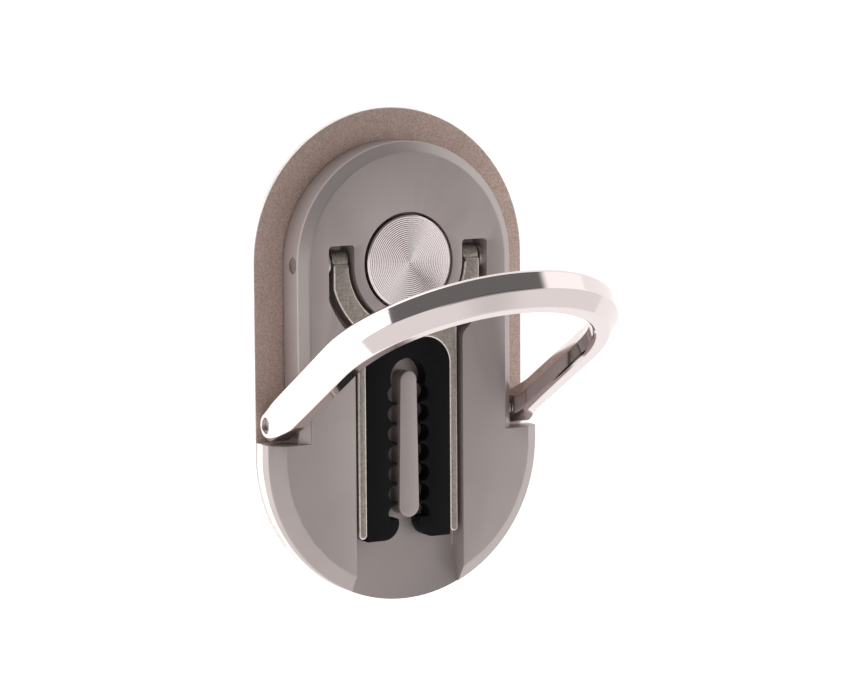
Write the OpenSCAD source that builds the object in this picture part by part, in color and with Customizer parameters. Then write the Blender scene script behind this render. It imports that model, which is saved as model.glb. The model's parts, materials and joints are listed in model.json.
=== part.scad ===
// Ring holder for the back of a phone, with a folding finger ring, a swivel
// body that turns on a stuck-down plate, and a clip that swings out of the
// body to grip an air vent blade. It lies on its adhesive face at z = 0.
// X runs across it, Y along it towards the pivot end, Z out of its front.

/* [Plate] */
// Length of the plate over its two round ends
plate_len = 60; // [54:0.5:68]
// Width of the plate
plate_w = 37; // [36:0.5:40]
// Thickness of the plate
plate_t = 0.8; // [0.6:0.1:1.4]
// Thickness of the adhesive pad
pad_t = 0.3; // [0.2:0.1:1]
// How far the adhesive pad stops short of the plate's edge
pad_inset = 0.6; // [0.3:0.1:1.5]

/* [Swivel body] */
// Height of the body's face above the plate
body_h = 4.9; // [4.6:0.1:5.6]
// Height of the shoulders above the centre of the lower round end
shoulder_up = 1.75; // [1.5:0.05:3]
// Height of the lower shell that shows under the wide part
shell_t = 1.65; // [1.4:0.05:1.9]
// Height of the lower shell inside the narrow part
tongue_t = 1.2; // [0.9:0.05:1.3]
// Wall of the narrow part outside the lower shell
skirt_wall = 1.2; // [0.9:0.1:1.6]
// Seam between the lower shell and the housing
seam = 0.1; // [0.06:0.01:0.2]
// Depth of the seam, measured in from the edge
seam_in = 0.4; // [0.2:0.1:1]
// Radius of the rounded edge of the wide part
wide_round = 2; // [1.2:0.1:2.4]
// Radius of the rounded edge of the narrow part
neck_round = 1.4; // [0.8:0.1:2]

/* [Recess] */
// Gap between the clip's prongs and the trough's walls
trough_gap = 0.55; // [0.3:0.05:0.9]
// Metal under the trough's floor
trough_floor = 0.35; // [0.25:0.05:0.6]
// Radius of the trough's floor corners
trough_round = 0.8; // [0.3:0.1:0.9]
// Gap between the clip's curved arms and the recess's outer wall
recess_gap = 1.2; // [0.8:0.1:1.6]
// Gap between the arms' flat outer sides and the slots' walls
slots_gap = 0.85; // [0.7:0.05:1.2]
// Gap between the arms and the island that is left round the pivot
island_gap = 0.55; // [0.4:0.05:0.8]
// Gap between the arms' round ends and the slots' upper ends
slot_end_gap = 0.7; // [0.5:0.1:1]
// Length of the ramp at the open end of the trough
ramp_len = 4; // [2:0.1:5]
// Metal left under the ramp at its lower end
ramp_floor = 0.05; // [0.05:0.05:0.2]

/* [Rib] */
// Gap between the rib's lower end and the sides of the liner's slot
rib_gap = 0.2; // [0.15:0.05:0.5]
// How much narrower the rib is at its upper end
rib_taper = 0.5; // [0:0.1:1]
// Rib top above the clip's top
rib_proud = 0.1; // [0:0.05:0.3]
// Gap between the slot's round end and the rib's upper end
rib_start_gap = 1.6; // [0.8:0.1:2.6]
// How far the rib stops short of the prongs' ends
rib_short = 2.3; // [2:0.1:4]

/* [Pivot] */
// Radius of the pivot post
post_r = 2.6; // [2:0.1:3]
// Radius of the post's riveted lower end
rivet_r = 2; // [1.4:0.1:2.4]
// Radius of the rivet's head
rivet_head_r = 2.9; // [2.6:0.1:3.4]
// Radius of the post's upper spigot, which holds the cap
spigot_r = 1.5; // [1:0.1:1.8]
// Radius of the cap
cap_r = 5.7; // [5.2:0.1:5.8]
// Radial gap round the cap
cap_gap = 0.35; // [0.2:0.05:0.5]
// Height of the cap above the face
cap_proud = 0.2; // [0:0.05:0.5]
// Thickness of the cap
cap_t = 1.6; // [1.2:0.1:1.8]
// Thickness of the slide washer between the plate and the body
slide_t = 0.2; // [0.1:0.05:0.3]
// Outer radius of the slide washer
slide_r = 7; // [5:0.5:9]
// Thickness of the thrust washer and of the disc spring
shim_t = 0.2; // [0.15:0.05:0.25]
// Free height of the disc spring above its thickness
spring_rise = 0.3; // [0.1:0.05:0.35]
// Running clearance of the post in the body
post_play = 0.05; // [0.02:0.01:0.1]
// Radial clearance of the washers on the post
washer_play = 0.15; // [0.05:0.05:0.3]
// How far the washers' edge lies inside the cap's edge
washer_short = 0.5; // [0.2:0.1:1]

/* [Ring] */
// Width of the ring's metal, across the ring
ring_w = 3.5; // [3:0.1:3.6]
// Thickness of the ring's metal, through the ring
ring_t = 4.5; // [4:0.1:4.6]
// Chamfer along the ring's edges
ring_chamfer = 0.8; // [0.3:0.05:1.2]
// Gap between the ring and the body when it is folded
ring_gap = 0.3; // [0.25:0.01:0.4]
// How far the folded ring stays inside the plate's edge
ring_inset = 0.1; // [0:0.05:0.5]
// Gap between the legs' round ends and the shoulders
ring_end_gap = 0.1; // [0.08:0.01:0.3]
// Gap between the folded ring and the plate
ring_lift = 0.2; // [0.15:0.01:0.3]
// Angle that the ring stands open at rest
ring_open = 60; // [0:1:90]
// Radius of the ring's pins
ring_pin_r = 0.9; // [0.7:0.05:1]
// Depth of the ring's pins in the body's wall
ring_pin_grip = 2.8; // [2:0.1:4]
// How far the pins' ends lie below the ring's sides
ring_pin_sunk = 0.5; // [0.2:0.1:1]
// Thickness of the washers beside the legs, as a share of the gap there
ring_washer_fill = 0.7; // [0.5:0.05:0.9]
// How far the washers' edge lies inside the legs' round ends
ring_washer_short = 0.35; // [0.2:0.05:0.6]

/* [Vent clip] */
// Distance between the outer sides of the clip's prongs
clip_w = 13.7; // [13.2:0.1:13.8]
// Thickness of each prong
prong_t = 1.1; // [0.8:0.1:1.4]
// Gap between the clip and the trough's floor
clip_lift = 0.15; // [0.1:0.05:0.2]
// How far the clip's top lies below the face
clip_sunk = 0.4; // [0.2:0.1:0.8]
// Distance of the prongs' ends from the plate's lower end
prong_short = 8; // [7:0.1:10]
// Inner radius of the clip's curved arms
arm_r = 7.95; // [7:0.05:8.6]
// Width of the curved arms
arm_w = 2.45; // [2.2:0.05:2.8]
// How far the arms' flat outer sides lie inside their curve
arm_flat = 0.4; // [0.2:0.1:0.8]
// Height of the clip's hinge line above the pivot's centre
clip_hinge_up = 0.1; // [0:0.1:0.6]
// How far the arms' round ends lie below the clip's top
knuckle_sunk = 0.2; // [0:0.05:0.4]
// Radius of the arms' round ends
knuckle_r = 1.6; // [1.4:0.05:1.65]
// Radius of the clip's pins
clip_pin_r = 0.8; // [0.6:0.05:0.9]
// Radius of the countersink that shows each clip pin
pin_mouth_r = 1; // [0.95:0.05:1.2]
// Depth of that countersink
pin_mouth_deep = 0.3; // [0.1:0.1:0.6]
// Gap between the arms and the clip's friction washers
clip_washer_gap = 0.25; // [0.1:0.05:0.4]
// How far the friction washers' edge lies inside the arms' round ends
clip_washer_short = 0.1; // [0.05:0.05:0.3]
// Gap between the arms' round ends and the pockets under them
knuckle_gap = 0.2; // [0.1:0.05:0.4]
// Running clearance of all hinge pins
pin_play = 0.03; // [0.02:0.01:0.08]

/* [Rubber liner] */
// Corner radius at the liner's closed end
liner_round = 3.4; // [2:0.1:4]
// Metal between the liner's closed end and the arms' inner curve
web_t = 1.35; // [1:0.05:2]
// Width of the slot between the scallops
slot_w = 3.1; // [2.95:0.05:3.4]
// Distance from one scallop to the next
scallop_pitch = 2.45; // [2.2:0.05:2.6]
// Radius of each scallop
scallop_r = 1.05; // [0.8:0.05:1.15]
// How far the scallops' centres lie outside the slot's edge
scallop_out = 0.2; // [0:0.05:0.4]
// Distance of the first scallop from the centre of the slot's round end
scallop_first = 1.9; // [1.5:0.1:3]
// Radius of the round end of the slot
keyhole_r = 2.4; // [1.8:0.1:2.6]
// Rubber between the round end and the liner's closed end
keyhole_wall = 2.4; // [1.8:0.1:3]
// Radius of the lead-in lips
lip_r = 2.1; // [1.6:0.1:2.2]
// How far the lips reach past the prongs
lip_reach = 0.4; // [0.1:0.1:0.8]
// How far each lip narrows the slot
lip_bulge = 0.2; // [0:0.05:0.3]

/* [Screws] */
// Radius of the screws' shanks
screw_r = 0.7; // [0.5:0.05:0.8]
// Radius of the screws' heads
screw_head_r = 1.25; // [1:0.05:1.4]
// Length of the screws
screw_len = 3.2; // [2.4:0.1:3.4]
// Metal between the upper screws' heads and the lower shell's edge
screw_edge = 0.5; // [0.3:0.1:1]
// Angle of the upper screws from the middle line, about the pivot
screw_turn = 43; // [35:1:50]
// Distance of the lower screws below the shoulders
screw_low = 5; // [3:0.5:7]

/* [Hidden] */

$fn = 96;
// A small overrun that lets a cut pass cleanly through a face
cut = 0.5;
// More than the object's own reach, for cuts that leave it
reach = plate_len;

plate_hw = plate_w / 2;
// Half the distance between the centres of the two round ends
end_y = plate_len / 2 - plate_hw;
plate_z = pad_t;
plate_top = plate_z + plate_t;

shell_z = plate_top + slide_t;
shell_top = shell_z + shell_t;
tongue_top = shell_z + tongue_t;
face_z = plate_top + body_h;
wide_z = shell_top + seam;
shoulder_y = shoulder_up - end_y;

ring_out = plate_hw - ring_inset;
ring_in = ring_out - ring_w;
ring_z = plate_top + ring_lift + ring_t / 2;
ring_hinge_y = shoulder_y + ring_end_gap + ring_t / 2;
ring_arm = end_y - ring_hinge_y;
ring_washer_t = ring_gap * ring_washer_fill;

neck_hw = ring_in - ring_gap;
tongue_hw = neck_hw - skirt_wall;
tongue_fit = 0.05;
screw_reach = tongue_hw - screw_head_r - screw_edge;

clip_hw = clip_w / 2;
trough_hw = clip_hw + trough_gap;
trough_z = wide_z + trough_floor;
ramp_z = wide_z + ramp_floor;
clip_z = trough_z + clip_lift;
clip_top = face_z - clip_sunk;
clip_hinge_y = end_y + clip_hinge_up;
clip_axis_z = clip_top - knuckle_sunk - knuckle_r;
clip_washer_t = slots_gap - clip_washer_gap;
prong_y = prong_short - plate_len / 2;
arm_outer_r = arm_r + arm_w;
arms_hw = arm_outer_r - arm_flat;
recess_r = arm_outer_r + recess_gap;
slots_hw = arms_hw + slots_gap;
island_r = arm_r - island_gap;
slot_end = knuckle_r + slot_end_gap;
knuckle_floor = clip_axis_z - knuckle_r - knuckle_gap;

cap_top = face_z + cap_proud;
cap_z = cap_top - cap_t;
bore_r = post_r + post_play;
cap_hole_r = cap_r + cap_gap;
washer_r = cap_r - washer_short;
washer_bore = post_r + washer_play;
pivot_floor = cap_z - 2 * shim_t - spring_rise;
spigot_len = cap_t * 0.6;
rivet_head_t = plate_t * 0.4;

liner_hw = clip_hw - prong_t;
liner_top = end_y - arm_r - web_t;
keyhole_y = liner_top - keyhole_wall - keyhole_r;
lip_x = slot_w / 2 - lip_bulge + lip_r;
lip_y = prong_y - lip_reach + lip_r;
scallop_x = slot_w / 2 + scallop_out;
scallop_y = keyhole_y - scallop_first;
// As many scallops as fit above the lips
scallops = 1 + floor((scallop_y - lip_y - scallop_r) / scallop_pitch);

rib_w_low = slot_w - 2 * rib_gap;
rib_w_top = rib_w_low - rib_taper;

steel = [0.78, 0.77, 0.76];
satin = [0.60, 0.58, 0.57];
blasted = [0.55, 0.50, 0.47];
nickel = [0.62, 0.60, 0.57];
bright = [0.90, 0.88, 0.87];
black = [0.10, 0.10, 0.11];
foam = [0.85, 0.84, 0.82];

// Outline with two round ends, for a half width
module stadium(half) {
    for (s = [-1, 1]) translate([0, s * end_y]) circle(r = half);
    square([2 * half, 2 * end_y], center = true);
}

// Half section of a block with a rounded upper edge, drawn from z = 0
module edge_section(half, h, r) {
    square([half - r, h]);
    intersection() {
        union() {
            square([half, max(h - r, 0)]);
            translate([half - r, h - r]) circle(r = r);
        }
        square([half, h]);
    }
}

// Block with a rounded upper edge and one round end at +Y or -Y. It runs
// straight from the round end's centre to y = to.
module round_block(half, z, h, r, side, to) {
    length = abs(side * end_y - to);
    translate([0, side * end_y, z]) {
        rotate([0, 0, side > 0 ? 0 : 180]) rotate_extrude(angle = 180) edge_section(half, h, r);
        translate([0, side > 0 ? 0 : length, 0]) rotate([90, 0, 0])
            linear_extrude(height = length) for (m = [0, 1]) mirror([m, 0]) edge_section(half, h, r);
    }
}

// Rectangle with chamfered corners, centred, as the ring's section
module chamfered(w, t, c) {
    polygon([[-w / 2 + c, -t / 2], [w / 2 - c, -t / 2], [w / 2, -t / 2 + c], [w / 2, t / 2 - c],
             [w / 2 - c, t / 2], [-w / 2 + c, t / 2], [-w / 2, t / 2 - c], [-w / 2, -t / 2 + c]]);
}

// Cylinder along +X for the right side, or its mirror image for the left
module along_x(side, x0, x1, y, z, r) {
    translate([side * x0, y, z]) rotate([0, side * 90, 0]) cylinder(r = r, h = x1 - x0);
}

module tube_x(side, x0, x1, y, z, r, bore) {
    difference() {
        along_x(side, x0, x1, y, z, r);
        along_x(side, x0 - cut, x1 + cut, y, z, bore);
    }
}

module at_screws() {
    for (s = [-1, 1]) {
        translate([s * screw_reach * sin(screw_turn), end_y + screw_reach * cos(screw_turn), 0])
            children();
        translate([s * (trough_hw + plate_hw) / 2, shoulder_y - screw_low, 0]) children();
    }
}

// Plan of the curved slots round the pivot's island, with straight upper ends
module slots_plan() {
    difference() {
        translate([0, end_y]) difference() {
            intersection() {
                circle(r = recess_r);
                translate([-slots_hw, -recess_r]) square([2 * slots_hw, 2 * recess_r]);
            }
            circle(r = island_r);
            translate([-island_r, 0]) square([2 * island_r, recess_r + cut]);
        }
        translate([-reach / 2, clip_hinge_y + slot_end]) square([reach, reach]);
    }
}

// Plan of the pockets under the arms' round ends
module knuckle_plan() {
    knuckle_reach = knuckle_r + knuckle_gap;
    intersection() {
        slots_plan();
        translate([-reach / 2, clip_hinge_y - knuckle_reach])
            square([reach, knuckle_reach + slot_end]);
    }
}

// Adhesive pad that sticks the plate to a phone or its case
module adhesive_pad() {
    color(foam) linear_extrude(height = pad_t) stadium(plate_hw - pad_inset);
}

// Plate with the hole and the recess for the post's riveted end
module base_plate() {
    color(blasted) difference() {
        translate([0, 0, plate_z]) linear_extrude(height = plate_t) stadium(plate_hw);
        translate([0, end_y, plate_z - cut]) {
            cylinder(r = rivet_r, h = plate_t + 2 * cut);
            cylinder(r = rivet_head_r, h = cut + rivet_head_t);
        }
    }
}

// Stepped post: rivet head, rivet, bearing length and spigot
module pivot_post() {
    color(steel) translate([0, end_y, 0]) {
        translate([0, 0, plate_z]) cylinder(r = rivet_head_r, h = rivet_head_t);
        translate([0, 0, plate_z]) cylinder(r = rivet_r, h = plate_t);
        translate([0, 0, plate_top]) cylinder(r = post_r, h = cap_z - plate_top);
        translate([0, 0, plate_top]) cylinder(r = spigot_r, h = cap_z + spigot_len - plate_top);
    }
}

// Low-friction washer that the body slides on
module slide_washer() {
    color(foam) translate([0, end_y, plate_top]) difference() {
        cylinder(r = slide_r, h = slide_t);
        translate([0, 0, -cut]) cylinder(r = washer_bore, h = slide_t + 2 * cut);
    }
}

// Lower shell: a bright layer under the wide part, with a tongue that runs
// inside the narrow part's skirt
module swivel_base() {
    color(bright) difference() {
        union() {
            translate([0, 0, shell_z]) linear_extrude(height = shell_t) wide_plan(plate_hw);
            translate([0, 0, shell_top]) linear_extrude(height = seam) wide_plan(plate_hw - seam_in);
            translate([0, 0, shell_z]) linear_extrude(height = tongue_t) tongue_plan(tongue_hw);
        }
        translate([0, end_y, shell_z - cut]) cylinder(r = bore_r, h = shell_t + 2 * cut);
        translate([0, 0, knuckle_floor]) linear_extrude(height = shell_t) knuckle_plan();
        at_screws() screw_space();
    }
}

// Outline of the wide part, cut off straight at the shoulders
module wide_plan(half) {
    intersection() {
        stadium(half);
        translate([-reach / 2, shoulder_y - reach]) square([reach, reach]);
    }
}

// Outline of the tongue inside the narrow part
module tongue_plan(half) {
    translate([0, end_y]) circle(r = half);
    translate([-half, shoulder_y - cut]) square([2 * half, end_y - shoulder_y + cut]);
}

// Countersunk screw, head down, as a solid for the screw and for its hole
module screw_space() {
    head_t = screw_head_r - screw_r;
    translate([0, 0, shell_z]) {
        cylinder(r1 = screw_head_r, r2 = screw_r, h = head_t);
        cylinder(r = screw_r, h = screw_len);
    }
}

module base_screws() {
    color(steel) at_screws() screw_space();
}

// Upper shell with the rounded face, the recess for the clip and the rib
module swivel_housing() {
    color(satin) {
        difference() {
            union() {
                round_block(neck_hw, shell_z, face_z - shell_z, neck_round, 1, shoulder_y);
                round_block(plate_hw, wide_z, face_z - wide_z, wide_round, -1, shoulder_y);
            }
            // Space for the tongue of the lower shell
            translate([0, 0, shell_z - cut]) linear_extrude(height = tongue_t + cut)
                tongue_plan(tongue_hw + tongue_fit);
            // Seat and bore of the pivot
            translate([0, end_y, pivot_floor]) cylinder(r = cap_hole_r, h = reach);
            translate([0, end_y, 0]) cylinder(r = bore_r, h = reach);
            // Recess: curved slots, pockets under the arms' ends, trough and ramp
            translate([0, 0, trough_z]) linear_extrude(height = reach) slots_plan();
            linear_extrude(height = reach) knuckle_plan();
            trough_cut();
            ramp_cut();
            pin_bores();
            at_screws() screw_space();
        }
        rib();
    }
}

// Trough with rounded floor corners, from the recess to the open end
module trough_cut() {
    // Midway between the island and the recess's wall, so that it meets both slots
    top_y = end_y - (island_r + sqrt(pow(recess_r, 2) - pow(trough_hw, 2))) / 2;
    translate([0, top_y, trough_z]) rotate([90, 0, 0]) linear_extrude(height = reach) {
        translate([-trough_hw, trough_round]) square([2 * trough_hw, reach]);
        translate([-trough_hw + trough_round, 0]) square([2 * (trough_hw - trough_round), reach]);
        for (s = [-1, 1]) translate([s * (trough_hw - trough_round), trough_round])
            circle(r = trough_round);
    }
}

// Conical ramp that lets a finger tip under the clip's lips
module ramp_cut() {
    inner = plate_hw - ramp_len;
    intersection() {
        translate([0, -end_y, 0]) rotate_extrude()
            polygon([[inner, trough_z], [plate_hw, ramp_z], [plate_hw + cut, ramp_z],
                     [plate_hw + cut, face_z + cut], [inner, face_z + cut]]);
        translate([-trough_hw, -reach, 0]) cube([2 * trough_hw, reach - end_y - cut, reach]);
    }
}

// Bores for the ring's pins and the clip's pins, with the clip pins' mouths
module pin_bores() {
    for (s = [-1, 1]) {
        along_x(s, neck_hw - ring_pin_grip, neck_hw + cut, ring_hinge_y, ring_z, ring_pin_r);
        along_x(s, slots_hw - cut, neck_hw + cut, clip_hinge_y, clip_axis_z, clip_pin_r);
        along_x(s, neck_hw - pin_mouth_deep, neck_hw + cut, clip_hinge_y, clip_axis_z, pin_mouth_r);
    }
}

// Rib that stands in the liner's slot, tapered in plan, with round ends
module rib() {
    top_r = rib_w_top / 2;
    low_r = rib_w_low / 2;
    top_y = keyhole_y + keyhole_r - rib_start_gap - top_r;
    low_y = prong_y + rib_short + low_r;
    translate([0, 0, trough_z - seam]) linear_extrude(height = clip_top + rib_proud - trough_z + seam) {
        translate([0, top_y]) circle(r = top_r);
        translate([0, low_y]) circle(r = low_r);
        polygon([[-top_r, top_y], [top_r, top_y], [low_r, low_y], [-low_r, low_y]]);
    }
}

// Thin flat washer on the floor of the pivot's seat
module thrust_washer() {
    color(steel) translate([0, end_y, pivot_floor]) difference() {
        cylinder(r = washer_r, h = shim_t);
        translate([0, 0, -cut]) cylinder(r = washer_bore, h = shim_t + 2 * cut);
    }
}

// Coned spring washer that presses the body down on its slide washer
module disc_spring() {
    z = pivot_floor + shim_t;
    color(steel) translate([0, end_y, z]) rotate_extrude()
        polygon([[washer_r, 0], [washer_r, shim_t], [washer_bore, shim_t + spring_rise],
                 [washer_bore, spring_rise]]);
}

// Round cap with a spun face, pressed on the post's spigot
module pivot_cap() {
    rim = 0.15;
    color(bright) translate([0, end_y, cap_z]) difference() {
        union() {
            cylinder(r = cap_r, h = cap_t - rim);
            cylinder(r = cap_r - rim, h = cap_t);
            translate([0, 0, cap_t - rim]) cylinder(r1 = cap_r, r2 = cap_r - rim, h = rim);
        }
        translate([0, 0, -cut]) cylinder(r = spigot_r, h = spigot_len + cut);
    }
}

// Finger ring, drawn folded flat round the narrow part and then opened
module ring() {
    mid = (ring_in + ring_out) / 2;
    color(bright) translate([0, ring_hinge_y, ring_z]) rotate([ring_open, 0, 0]) difference() {
        union() {
            translate([0, ring_arm, 0]) rotate_extrude(angle = 180)
                translate([mid, 0]) chamfered(ring_w, ring_t, ring_chamfer);
            for (s = [-1, 1]) {
                translate([s * mid, ring_arm, 0]) rotate([90, 0, 0])
                    linear_extrude(height = ring_arm) chamfered(ring_w, ring_t, ring_chamfer);
                // Round end of the leg, turned about the hinge line
                translate([s * mid, 0, 0]) rotate([0, 90, 0]) rotate_extrude() intersection() {
                    rotate([0, 0, 90]) chamfered(ring_w, ring_t, ring_chamfer);
                    translate([0, -ring_w]) square([ring_t, 2 * ring_w]);
                }
            }
        }
        for (s = [-1, 1]) along_x(s, ring_in - cut, ring_out + cut, 0, 0, ring_pin_r + pin_play);
    }
}

module ring_pin(side) {
    color(steel) along_x(side, neck_hw - ring_pin_grip, ring_out - ring_pin_sunk,
                         ring_hinge_y, ring_z, ring_pin_r);
}

module ring_washer(side) {
    color(steel) tube_x(side, neck_hw, neck_hw + ring_washer_t, ring_hinge_y, ring_z,
                        ring_t / 2 - ring_washer_short, ring_pin_r);
}

module ring_pin_left() { ring_pin(-1); }
module ring_pin_right() { ring_pin(1); }
module ring_washer_left() { ring_washer(-1); }
module ring_washer_right() { ring_washer(1); }

// Plan of the clip's two curved arms and of the web between them
module arms_plan() {
    intersection() {
        translate([0, end_y]) difference() {
            intersection() {
                circle(r = arm_outer_r);
                square([2 * arms_hw, 2 * recess_r], center = true);
            }
            circle(r = arm_r);
            translate([-arm_r, 0]) square([2 * arm_r, recess_r]);
        }
        translate([-reach / 2, clip_hinge_y - reach]) square([reach, reach]);
    }
}

// Outline of the liner's closed end, rounded at its two corners
module liner_outline(half, top, low) {
    r = liner_round + half - liner_hw;
    for (s = [-1, 1]) translate([s * (half - r), top - r]) circle(r = r);
    translate([-half + r, top - r]) square([2 * (half - r), r]);
    translate([-half, low]) square([2 * half, top - r - low]);
}

// Clip body: prongs, web and curved arms in one casting
module vent_clip() {
    tip_r = prong_t / 2;
    web_top = end_y - arm_r;
    color(nickel) difference() {
        union() {
            translate([0, 0, clip_z]) linear_extrude(height = clip_top - clip_z) difference() {
                union() {
                    arms_plan();
                    translate([-clip_hw, prong_y + tip_r])
                        square([2 * clip_hw, web_top - prong_y - tip_r]);
                    for (s = [-1, 1]) translate([s * (clip_hw - tip_r), prong_y + tip_r])
                        circle(r = tip_r);
                }
                liner_outline(liner_hw, liner_top, prong_y - cut);
                translate([0, end_y]) circle(r = arm_r);
            }
            for (s = [-1, 1]) along_x(s, arm_r, arms_hw, clip_hinge_y, clip_axis_z, knuckle_r);
        }
        for (s = [-1, 1])
            along_x(s, arm_r - cut, arms_hw + cut, clip_hinge_y, clip_axis_z, clip_pin_r + pin_play);
    }
}

// One-piece rubber liner with a scalloped slot and two rounded lips
module vent_clip_rubber() {
    color(black) translate([0, 0, clip_z]) linear_extrude(height = clip_top - clip_z) {
        difference() {
            liner_outline(liner_hw, liner_top, lip_y);
            translate([-slot_w / 2, lip_y - cut]) square([slot_w, keyhole_y - lip_y + cut]);
            translate([0, keyhole_y]) circle(r = keyhole_r);
            for (s = [-1, 1], i = [0:scallops - 1])
                translate([s * scallop_x, scallop_y - i * scallop_pitch]) circle(r = scallop_r);
        }
        for (s = [-1, 1]) {
            intersection() {
                translate([s * lip_x, lip_y]) circle(r = lip_r);
                translate([-liner_hw, lip_y - lip_r]) square([2 * liner_hw, lip_r + cut]);
            }
            translate([s > 0 ? lip_x : -liner_hw, lip_y - lip_r]) square([liner_hw - lip_x, lip_r]);
        }
    }
}

module clip_pin(side) {
    color(steel) along_x(side, arm_r, neck_hw - pin_mouth_deep / 2, clip_hinge_y, clip_axis_z,
                         clip_pin_r);
}

module clip_washer(side) {
    color(steel) tube_x(side, slots_hw - clip_washer_t, slots_hw, clip_hinge_y, clip_axis_z,
                        knuckle_r - clip_washer_short, clip_pin_r);
}

module clip_pin_left() { clip_pin(-1); }
module clip_pin_right() { clip_pin(1); }
module clip_washer_left() { clip_washer(-1); }
module clip_washer_right() { clip_washer(1); }

adhesive_pad();
base_plate();
pivot_post();
slide_washer();
swivel_base();
base_screws();
swivel_housing();
thrust_washer();
disc_spring();
pivot_cap();
ring();
ring_pin_left();
ring_pin_right();
ring_washer_left();
ring_washer_right();
vent_clip();
vent_clip_rubber();
clip_pin_left();
clip_pin_right();
clip_washer_left();
clip_washer_right();
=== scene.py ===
import json
import math

import bmesh
import bpy
from mathutils import Matrix, Vector


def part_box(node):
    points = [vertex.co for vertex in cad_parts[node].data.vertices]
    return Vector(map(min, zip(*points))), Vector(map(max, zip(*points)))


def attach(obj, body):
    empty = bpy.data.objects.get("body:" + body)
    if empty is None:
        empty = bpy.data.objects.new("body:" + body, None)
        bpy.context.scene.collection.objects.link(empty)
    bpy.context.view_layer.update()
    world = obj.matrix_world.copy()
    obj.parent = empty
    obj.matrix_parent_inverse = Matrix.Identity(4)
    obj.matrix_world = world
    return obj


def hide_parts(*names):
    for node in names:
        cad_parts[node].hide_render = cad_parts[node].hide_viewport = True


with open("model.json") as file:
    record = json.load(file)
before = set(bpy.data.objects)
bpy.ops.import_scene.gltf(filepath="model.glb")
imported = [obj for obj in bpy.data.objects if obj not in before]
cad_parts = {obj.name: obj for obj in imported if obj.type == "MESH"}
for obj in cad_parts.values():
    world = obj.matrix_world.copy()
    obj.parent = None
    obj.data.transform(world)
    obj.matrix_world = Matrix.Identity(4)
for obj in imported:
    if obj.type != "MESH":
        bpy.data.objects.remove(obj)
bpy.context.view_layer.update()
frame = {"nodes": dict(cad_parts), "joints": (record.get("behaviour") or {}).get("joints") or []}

MM = 0.001

# The camera was fitted to the outline of the plate, with its length as 60 mm.
CAMERA_AZIMUTH = math.radians(28.08)
CAMERA_ELEVATION = math.radians(6.71)
CAMERA_ROLL = math.radians(-0.45)
CAMERA_DISTANCE = 400 * MM
PIXELS_PER_MM = 8.148
PHOTO_WIDTH, PHOTO_HEIGHT = 860, 700
# Where the frame's origin lies in the photograph, in pixels
ORIGIN_PX = (386.4, 351.8)
SENSOR = 36.0
# The part of a noise's range that most of its values lie in
NOISE_MIDDLE = (0.35, 0.65)


def linear(code):
    """An sRGB hex colour as linear RGBA."""
    parts = [int(code[i : i + 2], 16) / 255 for i in (0, 2, 4)]
    return (*(c / 12.92 if c <= 0.04045 else ((c + 0.055) / 1.055) ** 2.4 for c in parts), 1.0)


# Nodes and materials


def add(tree, kind, inputs=None, **settings):
    """Adds a node; inputs maps a socket's name or number to a value or another socket."""
    node = tree.nodes.new(kind)
    for name, value in settings.items():
        setattr(node, name, value)
    for name, value in (inputs or {}).items():
        socket = node.inputs[name]
        if isinstance(value, bpy.types.NodeSocket):
            tree.links.new(value, socket)
        else:
            socket.default_value = value
    return node


def new_material(name, **constants):
    """A material with one Principled shader, whose constants sit on its own sockets."""
    material = bpy.data.materials.new(name)
    material.use_nodes = True
    tree = material.node_tree
    tree.nodes.clear()
    given = {name.replace("_", " "): value for name, value in constants.items()}
    shader = add(tree, "ShaderNodeBsdfPrincipled", given)
    out = add(tree, "ShaderNodeOutputMaterial")
    tree.links.new(shader.outputs["BSDF"], out.inputs["Surface"])
    return material, tree, shader


def noise(tree, size_mm, detail=2.0, rough=0.5):
    """Noise on the piece's own coordinates, whose features are about size_mm across."""
    place = add(tree, "ShaderNodeTexCoord").outputs["Object"]
    settings = {"Vector": place, "Scale": 1 / (size_mm * MM), "Detail": detail, "Roughness": rough}
    return add(tree, "ShaderNodeTexNoise", settings).outputs["Fac"]


def spread(tree, fac, low, high):
    """A colour ramp from one hex colour to another over the middle of a noise's range."""
    ramp = add(tree, "ShaderNodeValToRGB", {"Fac": fac})
    first, last = ramp.color_ramp.elements
    first.position, last.position = NOISE_MIDDLE
    first.color, last.color = linear(low), linear(high)
    return ramp.outputs["Color"]


def between(tree, fac, low, high):
    """A number that runs from low to high with fac."""
    ends = {"Value": fac, "To Min": low, "To Max": high}
    return add(tree, "ShaderNodeMapRange", ends).outputs["Result"]


def relief(tree, shader, height, depth_mm):
    """Bumps depth_mm high on the shader's normal."""
    settings = {"Height": height, "Distance": depth_mm * MM, "Strength": 1.0}
    bump = add(tree, "ShaderNodeBump", settings)
    tree.links.new(bump.outputs["Normal"], shader.inputs["Normal"])


def blasted_anodised():
    # Bead-blasted aluminium, anodised a warm grey: a fine sparkle of pits about
    # 0.2 mm apart, which scatter the light so that no edge is reflected in it.
    material, tree, shader = new_material("blasted_anodised_aluminium", Metallic=0.5, Roughness=0.55)
    grain = noise(tree, 0.2, 3.0, 0.7)
    tree.links.new(spread(tree, grain, "b9a298", "e3cabf"), shader.inputs["Base Color"])
    tree.links.new(between(tree, grain, 0.45, 0.68), shader.inputs["Roughness"])
    relief(tree, shader, grain, 0.015)
    return material


def plate_edge_highlight():
    # A smoother, more metallic copy of the plate's aluminium, nearly white: a painted highlight on the
    # plate's rim and edge bevels.
    material, tree, shader = new_material("turned_aluminium_edge", Metallic=0.85, Roughness=0.3)
    grain_and_highlight = noise(tree, 0.5, 2.0)
    tree.links.new(spread(tree, grain_and_highlight, "ece6e3", "f8f4f2"), shader.inputs["Base Color"])
    return material


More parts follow.
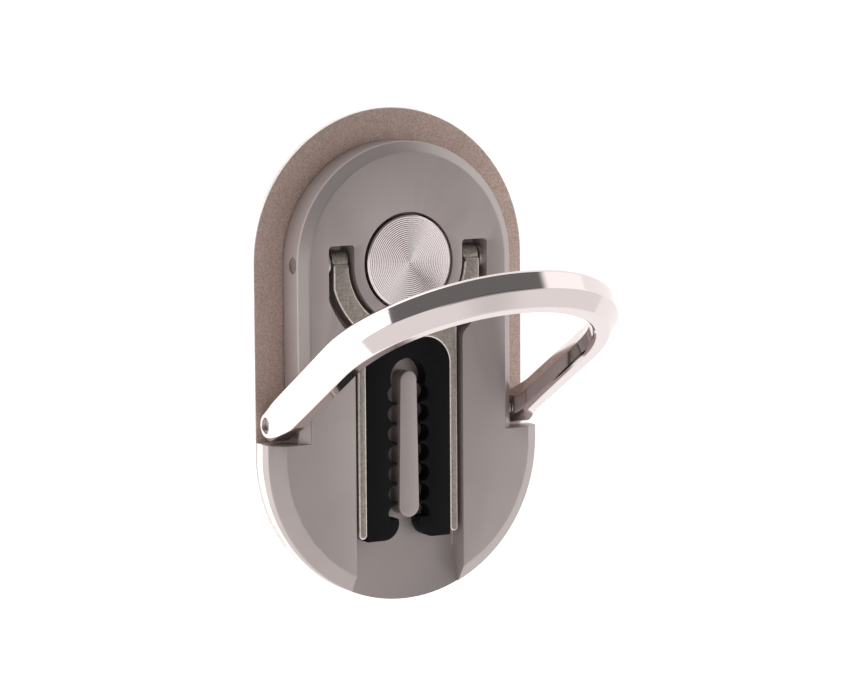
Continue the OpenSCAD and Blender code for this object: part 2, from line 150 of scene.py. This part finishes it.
def satin_lacquer():
    # Zinc casting, satin plated and lacquered a warm grey: even colour, a soft
    # metallic sheen and a very slight orange peel about 0.4 mm across.
    material, tree, shader = new_material("satin_lacquered_zinc", Metallic=0.5, Roughness=0.42)
    cloud = noise(tree, 9.0, 2.0)
    tree.links.new(spread(tree, cloud, "b5aaa8", "bab0ae"), shader.inputs["Base Color"])
    peel = noise(tree, 0.4, 2.0)
    tree.links.new(between(tree, peel, 0.38, 0.46), shader.inputs["Roughness"])
    relief(tree, shader, peel, 0.002)
    return material


def bright_satin():
    # Lower shell in brushed, bright-dipped aluminium: pale, with soft highlights.
    material, tree, shader = new_material("bright_satin_aluminium", Metallic=0.8, Roughness=0.34)
    cloud = noise(tree, 1.2, 2.0)
    tree.links.new(spread(tree, cloud, "eae4e1", "f6f1ee"), shader.inputs["Base Color"])
    return material


def spun_aluminium():
    # Face turned on a lathe with a fine feed: the round lines spread each light
    # into a fan across the disc, which the radial anisotropy gives.
    material, tree, shader = new_material(
        "spun_aluminium", Metallic=1.0, Roughness=0.24, Anisotropic=0.5, Base_Color=linear("eee4e5")
    )
    around = add(tree, "ShaderNodeTangent", direction_type="RADIAL", axis="Z")
    tree.links.new(around.outputs["Tangent"], shader.inputs["Tangent"])
    return material


def polished_chrome():
    # Buffed zinc with nickel chrome plating: a near mirror, with a warm tint.
    material, tree, shader = new_material(
        "polished_chrome_plating", Metallic=1.0, Base_Color=linear("dcd2d1")
    )
    haze = noise(tree, 2.5, 3.0)
    tree.links.new(between(tree, haze, 0.05, 0.1), shader.inputs["Roughness"])
    return material


def tumbled_nickel():
    # Nickel on a tumbled zinc casting: grey, speckled at about 0.25 mm.
    material, tree, shader = new_material("tumbled_nickel", Metallic=0.85, Roughness=0.42)
    grain = noise(tree, 0.26, 4.0, 0.75)
    tree.links.new(spread(tree, grain, "8d847c", "bdb4ac"), shader.inputs["Base Color"])
    tree.links.new(between(tree, grain, 0.34, 0.55), shader.inputs["Roughness"])
    relief(tree, shader, grain, 0.01)
    return material


def clip_edge_highlight():
    # A smoother, near-white copy of the nickel for the clip's upper edge bevels: a painted highlight
    # where those edges catch the light.
    material, tree, shader = new_material("rubbed_nickel_edge", Metallic=0.95, Roughness=0.28)
    highlight_noise = noise(tree, 0.5, 3.0, 0.7)
    tree.links.new(spread(tree, highlight_noise, "dcd2c9", "fbf4ee"), shader.inputs["Base Color"])
    return material


def moulded_rubber():
    # Matt black silicone rubber from a lightly etched mould.
    material, tree, shader = new_material("moulded_black_rubber", Roughness=0.6, Specular_IOR_Level=0.15)
    skin = noise(tree, 0.3, 3.0)
    tree.links.new(spread(tree, skin, "08080a", "0d0d10"), shader.inputs["Base Color"])
    relief(tree, shader, skin, 0.006)
    return material


def turned_steel():
    # Turned stainless steel of the pins, post, washers and screws.
    material, tree, shader = new_material("turned_stainless_steel", Metallic=1.0, Roughness=0.3)
    grain_and_highlight = noise(tree, 0.2, 2.0)
    tree.links.new(spread(tree, grain_and_highlight, "b9b5b1", "d2cecb"), shader.inputs["Base Color"])
    tree.links.new(between(tree, grain_and_highlight, 0.24, 0.38), shader.inputs["Roughness"])
    return material


def foam_tape():
    # Acrylic foam tape, off-white and dull, with a fine cell structure.
    material, tree, shader = new_material("acrylic_foam_tape", Roughness=0.9)
    cells = noise(tree, 0.4, 3.0)
    tree.links.new(spread(tree, cells, "dcdad6", "eceae6"), shader.inputs["Base Color"])
    relief(tree, shader, cells, 0.01)
    return material


def moulded_nylon():
    # Natural nylon, milky, with a low sheen.
    material, tree, shader = new_material("natural_nylon", Roughness=0.5)
    milk = noise(tree, 3.0, 2.0)
    tree.links.new(spread(tree, milk, "dddad2", "e8e5de"), shader.inputs["Base Color"])
    return material


PLATE = blasted_anodised()
PLATE_EDGE_HIGHLIGHT = plate_edge_highlight()
HOUSING = satin_lacquer()
SHELL = bright_satin()
CAP = spun_aluminium()
CHROME = polished_chrome()
CLIP = tumbled_nickel()
CLIP_EDGE_HIGHLIGHT = clip_edge_highlight()
RUBBER = moulded_rubber()
STEEL = turned_steel()
TAPE = foam_tape()
NYLON = moulded_nylon()


# Pieces

# The holder's main sizes in millimetres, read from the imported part
PLATE_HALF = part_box("base_plate")[1][0] / MM
TURN_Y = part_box("base_plate")[1][1] / MM - PLATE_HALF
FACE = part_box("swivel_housing")[1][2] / MM
NECK_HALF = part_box("ring_pin_right")[1][0] / MM - 3.3
SHOULDER = -9.75
TROUGH_HALF = 7.4
TROUGH_FLOOR = 3.4
RING_HINGE = next(j for j in frame["joints"] if j["name"] == "ring_hinge")["pos_m"]

# Chamfer of the body's upper edge, in millimetres: radius of the CAD's round edge,
# width inwards and depth, and the height at which the upright wall ends
NECK_CHAMFER = {"round_r": 1.4, "inset": 1.27, "drop": 1.04, "wall_top": FACE - 1.4}
WIDE_CHAMFER = {"round_r": 2.0, "inset": 1.85, "drop": 1.45, "wall_top": 4.35}
# The round's points up to this angle stay on the wall; the rest go to the chamfer.
WALL_SHARE = 25.0
# How near a point has to lie to a line of the casting, and to its round edge
ON_LINE, ON_ROUND = 0.01, 0.03

# The trough's floor: where its fall towards the open end begins, from the centre
# of the body's end, the CAD's fall for each millimetre and the casting's rise
RAMP_START, CAD_FALL, RAMP_RISE = 14.5, 0.075, 0.225
FOOT_TOP = 4.25
# Corners seen from above, as distance from the middle, place along and radius
SLOT_END_Y, TROUGH_MOUTH_Y = 13.9, 2.57
ROUNDED_CORNERS = [
    (TROUGH_HALF, SLOT_END_Y, 0.4),
    (10.85, SLOT_END_Y, 0.4),
    (TROUGH_HALF, TROUGH_MOUTH_Y, 0.7),
]
WASHER_R = 1.3
# Points closer than this are one, and faces flatter than this angle are joined.
MERGE_MM = 0.0005
FLAT_ANGLE = math.radians(0.4)


def plain_mesh(obj):
    """Applies an object's modifiers and returns it with a plain mesh."""
    depsgraph = bpy.context.evaluated_depsgraph_get()
    mesh = bpy.data.meshes.new_from_object(obj.evaluated_get(depsgraph), depsgraph=depsgraph)
    obj.modifiers.clear()
    obj.data = mesh
    return obj


def new_piece(name, mesh, *materials):
    """A linked object with the given mesh and materials."""
    piece = bpy.data.objects.new(name, mesh)
    bpy.context.scene.collection.objects.link(piece)
    mesh.materials.clear()
    for material in materials:
        mesh.materials.append(material)
    return piece


def soften_edges(piece, width_mm, segments=3, angle=30.0, edge_material=-1, above_mm=None):
    """Rounds the edges sharper than angle, and keeps flat faces flat to the eye.

    With above_mm, only the outward edges that lie above that height are rounded,
    so that a narrow inner corner can't fold a face over.
    """
    work = bmesh.new()
    work.from_mesh(piece.data)
    weight = work.edges.layers.float.new("bevel_weight_edge")
    for edge in work.edges:
        if not edge.is_manifold or edge.calc_face_angle() < math.radians(angle):
            continue
        chosen = above_mm is None or (
            edge.calc_face_angle_signed() > 0 and all(v.co.z > above_mm * MM for v in edge.verts)
        )
        edge[weight] = 1.0 if chosen else 0.0
        edge.smooth = chosen
    work.to_mesh(piece.data)
    work.free()
    for face in piece.data.polygons:
        face.use_smooth = True
    bevel = piece.modifiers.new("soft_edges", "BEVEL")
    bevel.width = width_mm * MM
    bevel.segments = segments
    bevel.limit_method = "WEIGHT"
    bevel.use_clamp_overlap = False
    bevel.harden_normals = True
    bevel.material = edge_material
    # Many-sided faces are cut up here, at rest, so that they stay true at every pose.
    cut = piece.modifiers.new("cut_flats", "TRIANGULATE")
    cut.min_vertices = 5
    return plain_mesh(piece)


def merge_doubles(mesh):
    """Joins points that lie at one place, and removes what that leaves without size."""
    work = bmesh.new()
    work.from_mesh(mesh)
    bmesh.ops.remove_doubles(work, verts=work.verts, dist=MERGE_MM * MM)
    bmesh.ops.dissolve_degenerate(work, dist=MERGE_MM * MM, edges=work.edges)
    work.to_mesh(mesh)
    work.free()


def clean_copy(node, name, *materials):
    """A merged copy of a CAD node's mesh, with flat stretches joined into single faces."""
    mesh = frame["nodes"][node].data.copy()
    merge_doubles(mesh)
    work = bmesh.new()
    work.from_mesh(mesh)
    bmesh.ops.dissolve_limit(
        work, angle_limit=FLAT_ANGLE, verts=work.verts, edges=work.edges,
        use_dissolve_boundaries=False,
    )
    work.to_mesh(mesh)
    work.free()
    for face in mesh.polygons:
        face.material_index = 0
    return new_piece(name, mesh, *materials)


def settle(piece, node, body):
    """The piece stands for its CAD node and rides on its body."""
    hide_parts(node)
    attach(piece, body)


def dress_plate():
    piece = clean_copy("base_plate", "blasted_plate", PLATE, PLATE_EDGE_HIGHLIGHT)
    # The edge bevels, and then every upright face of the rim, take the painted edge highlight.
    soften_edges(piece, 0.12, 3, 40, edge_material=1)
    for face in piece.data.polygons:
        if abs(face.normal.z) < 0.5:
            face.material_index = 1
    settle(piece, "base_plate", "base")


def chamfer_edge(piece, near, radius, turn_y, side, round_r, inset, drop, wall_top):
    """Turns a block's rounded upper edge into the crisp chamfer of the casting.

    The block is radius wide on each side, and ends in a half circle about turn_y,
    towards side. Each point of its quarter round is carried to the upright wall or
    to the chamfer by its angle, so no face is added.
    """
    start = FACE - round_r
    for vert in piece.data.vertices:
        x, y, z = (c / MM for c in vert.co)
        if not near(x, y) or z < start - ON_LINE:
            continue
        over = max(side * (y - turn_y), 0)
        old = radius - math.hypot(x, over)
        off_round = abs(math.hypot(round_r - old, z - start) - round_r)
        if off_round > ON_ROUND or old > round_r + ON_ROUND:
            continue
        angle = math.degrees(math.atan2(z - start, round_r - old))
        if angle <= WALL_SHARE:
            new, z = 0.0, wall_top + (FACE - drop - wall_top) * angle / WALL_SHARE
        else:
            share = (angle - WALL_SHARE) / (90 - WALL_SHARE)
            new, z = inset * share, FACE - drop + drop * share
        if over == 0:
            x = math.copysign(radius - new, x)
        elif abs(abs(x) - TROUGH_HALF) < 0.02:
            y = turn_y + side * math.sqrt((radius - new) ** 2 - x * x)
        else:
            scale = (radius - new) / (radius - old)
            x, y = x * scale, turn_y + (y - turn_y) * scale
        vert.co = Vector((x, y, z)) * MM


def raise_ramp(piece):
    """Lifts the trough's floor at its open end up to the edge's chamfer.

    The rounding along the foot of each wall fades out towards the ramp.
    """
    for vert in piece.data.vertices:
        x, y, z = (c / MM for c in vert.co)
        reach = math.hypot(x, y + TURN_Y)
        if y > -TURN_Y or abs(x) > TROUGH_HALF + ON_LINE:
            continue
        if reach > RAMP_START + 0.05:
            if abs(z - TROUGH_FLOOR + CAD_FALL * (reach - RAMP_START)) < 0.015:
                vert.co.z = (TROUGH_FLOOR + RAMP_RISE * (reach - RAMP_START)) * MM
        elif abs(reach - RAMP_START) < 0.05 and TROUGH_FLOOR < z < FOOT_TOP:
            vert.co.z = TROUGH_FLOOR * MM
    merge_doubles(piece.data)


def round_upright_edges(piece):
    """Rounds the corners of the slots' ends and of the trough's mouth."""
    work = bmesh.new()
    work.from_mesh(piece.data)
    for px, py, width in ROUNDED_CORNERS:
        found = []
        for edge in work.edges:
            a, b = (v.co / MM for v in edge.verts)
            upright = (a - b).xy.length < ON_LINE and abs(a.z - b.z) > 0.3
            if upright and abs(abs(a.x) - px) < ON_ROUND and abs(a.y - py) < ON_ROUND:
                found.append(edge)
        bmesh.ops.bevel(
            work, geom=found, offset=width * MM, offset_type="OFFSET", segments=5,
            profile=0.5, affect="EDGES", clamp_overlap=True,
        )
    work.to_mesh(piece.data)
    work.free()


def dress_housing():
    piece = clean_copy("swivel_housing", "housing_casting", HOUSING)

    def on_neck(x, y):
        return y > SHOULDER - ON_LINE and abs(x) < NECK_HALF + ON_LINE

    def on_wide_end(x, y):
        below = y < SHOULDER - ON_LINE
        return below or (y < SHOULDER + ON_LINE and abs(x) > NECK_HALF + 0.5)

    chamfer_edge(piece, on_neck, NECK_HALF, TURN_Y, 1, **NECK_CHAMFER)
    chamfer_edge(piece, on_wide_end, PLATE_HALF, -TURN_Y, -1, **WIDE_CHAMFER)
    raise_ramp(piece)
    round_upright_edges(piece)
    soften_edges(piece, 0.1, 3, 25, above_mm=4.9)
    settle(piece, "swivel_housing", "swivel")


def dress_lower_shell():
    piece = clean_copy("swivel_base", "bright_lower_shell", SHELL)
    soften_edges(piece, 0.1, 2, 40)
    settle(piece, "swivel_base", "swivel")


def dress_clip():
    piece = clean_copy("vent_clip", "clip_casting", CLIP, CLIP_EDGE_HIGHLIGHT)
    # The upper edge bevels take the painted highlight material.
    soften_edges(piece, 0.2, 3, 30, edge_material=1, above_mm=5.3)
    settle(piece, "vent_clip", "clip")


def dress_liner():
    piece = clean_copy("vent_clip_rubber", "scalloped_liner", RUBBER)
    soften_edges(piece, 0.14, 3, 30)
    settle(piece, "vent_clip_rubber", "clip")


SMALL_PARTS = {
    "adhesive": TAPE,
    "pivot_post": STEEL,
    "slide_washer": NYLON,
    "base_screws": STEEL,
    "thrust_washer": STEEL,
    "disc_spring": STEEL,
    "ring_pin": STEEL,
    "clip_pin": STEEL,
    "clip_washer": STEEL,
}


def dress_small_parts():
    """Gives its material to each CAD node that stays as it is."""
    for name, owner in frame["nodes"].items():
        for start, material in SMALL_PARTS.items():
            if name.startswith(start):
                owner.data.materials.clear()
                owner.data.materials.append(material)


def dress_ring_washers():
    """The washers in the ring's hinge, kept inside the round end of the ring's leg."""
    middle = Vector(RING_HINGE[1:])
    for side in ("left", "right"):
        piece = clean_copy(f"ring_washer_{side}", f"small_washer_{side}", STEEL)
        for vert in piece.data.vertices:
            out = vert.co.yz - middle
            if out.length > WASHER_R * MM:
                vert.co.yz = middle + out * (WASHER_R * MM / out.length)
        settle(piece, f"ring_washer_{side}", "swivel")


# Finger ring, swept with its chamfered section round both legs and the bow

RING_OPEN = math.radians(60)
BOW_STEPS = 120
LEG_STEPS = 36
KNUCKLE_STEPS = 28
PIN_BORE_R = 0.93
# Chamfers in millimetres: the wide one is on the outer front edge
CHAMFER_FRONT, CHAMFER_SMALL = 1.6, 0.4
CHAMFER_INNER_BACK = (1.6, 2.1)
END_HALF, END_CHAMFER, END_LENGTH = 1.95, 0.6, 4.0
# From the path to the front and to the back, beyond the even ends
FRONT_DEPTH, BACK_DEPTH = 2.15, 2.0
# Between the ring's inner side and the body's neck
NECK_GAP = 0.3


def ring_section(width, y):
    """The section's corners about the path: outer back first, then to the front.

    It is even at the hinge, and takes its wide front chamfer within END_LENGTH.
    """
    share = min(max(y / END_LENGTH, 0), 1)
    share = share * share * (3 - 2 * share)
    w = width / 2
    front = END_HALF + (FRONT_DEPTH - END_HALF) * share
    back = END_HALF + (BACK_DEPTH - END_HALF) * share
    big = END_CHAMFER + (CHAMFER_FRONT - END_CHAMFER) * share
    small = END_CHAMFER + (CHAMFER_SMALL - END_CHAMFER) * share
    across, deep = (END_CHAMFER + (size - END_CHAMFER) * share for size in CHAMFER_INNER_BACK)
    return [
        (w, -back + small),
        (w, front - big),
        (w - big, front),
        (-w + small, front),
        (-w, front - small),
        (-w, -back + deep),
        (-w + across, -back),
        (w - small, -back),
    ]


def make_ring():
    """The ring, modelled flat about its hinge line and then opened."""
    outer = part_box("ring")[1][0] / MM
    inner = NECK_HALF + NECK_GAP
    mid = (inner + outer) / 2
    reach = TURN_Y - RING_HINGE[1] / MM

    def station(side_x, y, turn):
        """The section's corners where the path is at angle turn round the bow."""
        row = []
        for rho, z in ring_section(outer - inner, y if turn is None else reach):
            r = mid + rho
            if turn is None:
                row.append((side_x * r, y, z))
            else:
                row.append((r * math.cos(turn), reach + r * math.sin(turn), z))
        return row

    stations = [station(1, reach * i / LEG_STEPS, None) for i in range(LEG_STEPS)]
    stations += [station(0, 0, math.pi * i / BOW_STEPS) for i in range(BOW_STEPS + 1)]
    stations += [station(-1, reach * (1 - i / LEG_STEPS), None) for i in range(1, LEG_STEPS + 1)]

    work = bmesh.new()
    rows = [[work.verts.new(Vector(p) * MM) for p in row] for row in stations]
    count = len(rows[0])
    for a, b in zip(rows[:-1], rows[1:]):
        for k in range(count):
            work.faces.new((a[k], a[(k + 1) % count], b[(k + 1) % count], b[k]))
    # Round ends: the front half of the section is turned about the hinge line
    # until it meets the back half.
    pairs = [(1, 0), (2, 7), (3, 6), (4, 5)]
    for row in (rows[0], rows[-1]):
        arcs = []
        for upper, lower in pairs:
            start, end = row[upper].co, row[lower].co
            arc = [row[upper]]
            for step in range(1, KNUCKLE_STEPS):
                share = step / KNUCKLE_STEPS
                angle = math.pi * share
                radius = start.z + (-end.z - start.z) * share
                side = start.x + (end.x - start.x) * share
                arc.append(work.verts.new((side, -radius * math.sin(angle), radius * math.cos(angle))))
            arc.append(row[lower])
            arcs.append(arc)
        for first, second in zip(arcs[:-1], arcs[1:]):
            for i in range(KNUCKLE_STEPS):
                work.faces.new((first[i], first[i + 1], second[i + 1], second[i]))
        work.faces.new(arcs[0])
        work.faces.new(arcs[-1])
    bmesh.ops.recalc_face_normals(work, faces=work.faces)
    mesh = bpy.data.meshes.new("polished_ring")
    work.to_mesh(mesh)
    work.free()
    piece = new_piece("polished_ring", mesh, CHROME)

    # Pin bores through both legs
    cutter_work = bmesh.new()
    bmesh.ops.create_cone(
        cutter_work, cap_ends=True, segments=48, radius1=PIN_BORE_R * MM,
        radius2=PIN_BORE_R * MM, depth=4 * outer * MM, matrix=Matrix.Rotation(math.pi / 2, 4, "Y"),
    )
    cutter_mesh = bpy.data.meshes.new("bore_cutter")
    cutter_work.to_mesh(cutter_mesh)
    cutter_work.free()
    cutter = new_piece("bore_cutter", cutter_mesh)
    bore = piece.modifiers.new("pin_bores", "BOOLEAN")
    bore.operation, bore.solver, bore.object = "DIFFERENCE", "EXACT", cutter
    plain_mesh(piece)
    bpy.data.objects.remove(cutter)
    piece.data.materials.clear()
    piece.data.materials.append(CHROME)
    soften_edges(piece, 0.16, 4, 25)
    hinge_line = Matrix.Translation((0, RING_HINGE[1], RING_HINGE[2]))
    piece.data.transform(hinge_line @ Matrix.Rotation(RING_OPEN, 4, "X"))
    settle(piece, "ring", "ring")


# Pivot cap with its spun face, from a Geometry Nodes tree


def named_input(tree, name, kind, value=None):
    socket = tree.interface.new_socket(name, in_out="INPUT", socket_type=kind)
    if value is not None:
        socket.default_value = value


def math_node(tree, operation, *values):
    return add(tree, "ShaderNodeMath", dict(enumerate(values)), operation=operation).outputs[0]


def spun_cap_tree():
    """A disc whose top is turned in rings of a given pitch and bevelled at its rim."""
    tree = bpy.data.node_groups.new("spun_cap", "GeometryNodeTree")
    tree.interface.new_socket("Geometry", in_out="OUTPUT", socket_type="NodeSocketGeometry")
    named_input(tree, "Radius", "NodeSocketFloat", 5.7 * MM)
    named_input(tree, "Thickness", "NodeSocketFloat", 1.6 * MM)
    named_input(tree, "Rim", "NodeSocketFloat", 0.15 * MM)
    named_input(tree, "Groove Pitch", "NodeSocketFloat", 0.24 * MM)
    named_input(tree, "Groove Depth", "NodeSocketFloat", 0.025 * MM)
    named_input(tree, "Rings", "NodeSocketInt", 95)
    named_input(tree, "Facets", "NodeSocketInt", 144)
    named_input(tree, "Finish", "NodeSocketMaterial")
    given = add(tree, "NodeGroupInput").outputs
    disc = add(
        tree,
        "GeometryNodeMeshCylinder",
        {
            "Vertices": given["Facets"],
            "Fill Segments": given["Rings"],
            "Radius": given["Radius"],
            "Depth": given["Thickness"],
        },
    )
    place = add(tree, "GeometryNodeInputPosition").outputs[0]
    x, y, z = add(tree, "ShaderNodeSeparateXYZ", {0: place}).outputs
    radius = math_node(tree, "SQRT", math_node(
        tree, "ADD", math_node(tree, "MULTIPLY", x, x), math_node(tree, "MULTIPLY", y, y)))
    wave = math_node(tree, "PINGPONG", radius, math_node(tree, "MULTIPLY", given["Groove Pitch"], 0.5))
    share = math_node(tree, "DIVIDE", wave, math_node(tree, "MULTIPLY", given["Groove Pitch"], 0.5))
    groove = math_node(tree, "MULTIPLY", share, given["Groove Depth"])
    past_rim = math_node(tree, "SUBTRACT", radius, math_node(
        tree, "SUBTRACT", given["Radius"], given["Rim"]))
    fall = math_node(tree, "ADD", groove, math_node(tree, "MAXIMUM", past_rim, 0.0))
    offset = add(tree, "ShaderNodeCombineXYZ", {"Z": math_node(tree, "MULTIPLY", fall, -1.0)})
    turned = add(
        tree,
        "GeometryNodeSetPosition",
        {
            "Geometry": disc.outputs["Mesh"],
            "Selection": math_node(tree, "GREATER_THAN", z, 0.0),
            "Offset": offset.outputs[0],
        },
    )
    real = add(tree, "GeometryNodeRealizeInstances", {"Geometry": turned.outputs[0]})
    finish = add(
        tree, "GeometryNodeSetMaterial", {"Geometry": real.outputs[0], "Material": given["Finish"]})
    out = add(tree, "NodeGroupOutput")
    tree.links.new(finish.outputs[0], out.inputs[0])
    return tree


def set_inputs(modifier, **values):
    """Sets a Geometry Nodes modifier's named inputs through their sockets' identifiers."""
    for item in modifier.node_group.interface.items_tree:
        key = item.name.replace(" ", "_")
        if item.in_out == "INPUT" and key in values:
            modifier[item.identifier] = values[key]


def make_cap():
    """The cap with its grooves, in the CAD cap's place."""
    low, high = (Vector(corner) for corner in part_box("pivot_cap"))
    centre = (low + high) / 2
    radius = (high.x - low.x) / 2
    thick = high.z - low.z
    piece = new_piece("spun_cap", bpy.data.meshes.new("spun_cap"), CAP)
    turning = piece.modifiers.new("turning", "NODES")
    turning.node_group = spun_cap_tree()
    set_inputs(turning, Radius=radius, Thickness=thick, Finish=CAP)
    plain_mesh(piece)
    piece.data.transform(Matrix.Translation(centre))
    for face in piece.data.polygons:
        face.use_smooth = True
    # The turned rings keep crisp edges, and stay round along their length.
    for edge in piece.data.edges:
        near, far = ((piece.data.vertices[i].co - centre).xy.length for i in edge.vertices)
        edge.use_edge_sharp = abs(near - far) < 0.001 * MM
    settle(piece, "pivot_cap", "base")


# Floor: where its glow fades from left to right, in millimetres, and from what to what
FLOOR_FADE = (-21, -17)
FLOOR_GLOW = (1.2, 0.6)
# Room: how much darker it is overhead and behind, and how much a window adds
OVERHEAD_DARK, BEHIND_DARK, WINDOW_LIGHT = 0.55, 0.82, 0.4


def floor_and_light():
    """Pale floor in an even white room that is darker overhead and behind.

    A brighter window stands behind to the right.
    """
    bpy.ops.mesh.primitive_plane_add(size=3.0)
    floor = bpy.context.object
    floor.name = "pale_floor"
    # White acrylic sheet, lit from below so that it stays white round the object
    material, tree, shader = new_material(
        "lit_white_sheet", Roughness=0.9, Specular_IOR_Level=0.2,
        Base_Color=linear("fbfafa"), Emission_Color=linear("ffffff"),
    )
    place = add(tree, "ShaderNodeTexCoord").outputs["Object"]
    across = add(tree, "ShaderNodeSeparateXYZ", {0: place}).outputs[0]
    fade_start, fade_end = FLOOR_FADE
    bright, dim = FLOOR_GLOW
    fade = {"Value": across, "From Min": fade_start * MM, "From Max": fade_end * MM,
            "To Min": bright, "To Max": dim}
    glow = add(tree, "ShaderNodeMapRange", fade).outputs["Result"]
    tree.links.new(glow, shader.inputs["Emission Strength"])
    floor.data.materials.append(material)

    world = bpy.data.worlds.new("white_room")
    world.use_nodes = True
    bpy.context.scene.world = world
    tree = world.node_tree
    tree.nodes.clear()
    where = add(tree, "ShaderNodeTexCoord")
    x, y, z = add(tree, "ShaderNodeSeparateXYZ", {0: where.outputs["Generated"]}).outputs

    def step(value, low, high):
        ends = {"Value": value, "From Min": low, "From Max": high}
        node = add(tree, "ShaderNodeMapRange", ends, interpolation_type="SMOOTHSTEP")
        return node.outputs["Result"]

    overhead = step(z, 0.72, 0.92)
    to_the_right = step(x, 0.56, 0.66)
    back_half = step(y, 0.04, 0.24)
    to_the_left = math_node(tree, "SUBTRACT", 1.0, to_the_right)
    behind = math_node(tree, "MULTIPLY", back_half, to_the_left)
    window = math_node(tree, "MULTIPLY", back_half, to_the_right)
    lost_overhead = math_node(tree, "MULTIPLY", overhead, OVERHEAD_DARK)
    lost_behind = math_node(tree, "MULTIPLY", behind, BEHIND_DARK)
    sky = math_node(tree, "SUBTRACT", 1.0, lost_overhead)
    even = math_node(tree, "MULTIPLY", sky, math_node(tree, "SUBTRACT", 1.0, lost_behind))
    gained = math_node(tree, "MULTIPLY", window, WINDOW_LIGHT)
    level = math_node(tree, "ADD", even, gained)
    light = add(tree, "ShaderNodeBackground", {"Color": (1, 0.985, 0.98, 1), "Strength": level})
    out = add(tree, "ShaderNodeOutputWorld")
    tree.links.new(light.outputs["Background"], out.inputs["Surface"])


def aim_camera():
    """The camera that was fitted to the photograph, with its roll and shift."""
    az, el = CAMERA_AZIMUTH, CAMERA_ELEVATION
    back = Vector((-math.sin(az) * math.cos(el), math.sin(el), math.cos(az) * math.cos(el)))
    level = Vector((math.cos(az), 0, math.sin(az)))
    upright = back.cross(level)
    right = level * math.cos(CAMERA_ROLL) + upright * math.sin(CAMERA_ROLL)
    up = -level * math.sin(CAMERA_ROLL) + upright * math.cos(CAMERA_ROLL)
    data = bpy.data.cameras.new("photo_camera")
    data.sensor_width = SENSOR
    data.lens = PIXELS_PER_MM * CAMERA_DISTANCE / MM * SENSOR / PHOTO_WIDTH
    data.shift_x = (PHOTO_WIDTH / 2 - ORIGIN_PX[0]) / PHOTO_WIDTH
    data.shift_y = (ORIGIN_PX[1] - PHOTO_HEIGHT / 2) / PHOTO_WIDTH
    data.clip_start, data.clip_end = 0.01, 10
    camera = bpy.data.objects.new("photo_camera", data)
    turn = Matrix((right, up, back)).transposed().to_4x4()
    camera.matrix_world = Matrix.Translation(back * CAMERA_DISTANCE) @ turn
    bpy.context.scene.collection.objects.link(camera)
    bpy.context.scene.camera = camera


aim_camera()
floor_and_light()
dress_plate()
dress_housing()
dress_lower_shell()
dress_clip()
dress_liner()
dress_small_parts()
dress_ring_washers()
make_ring()
make_cap()

bpy.context.scene.view_settings.view_transform = "Standard"
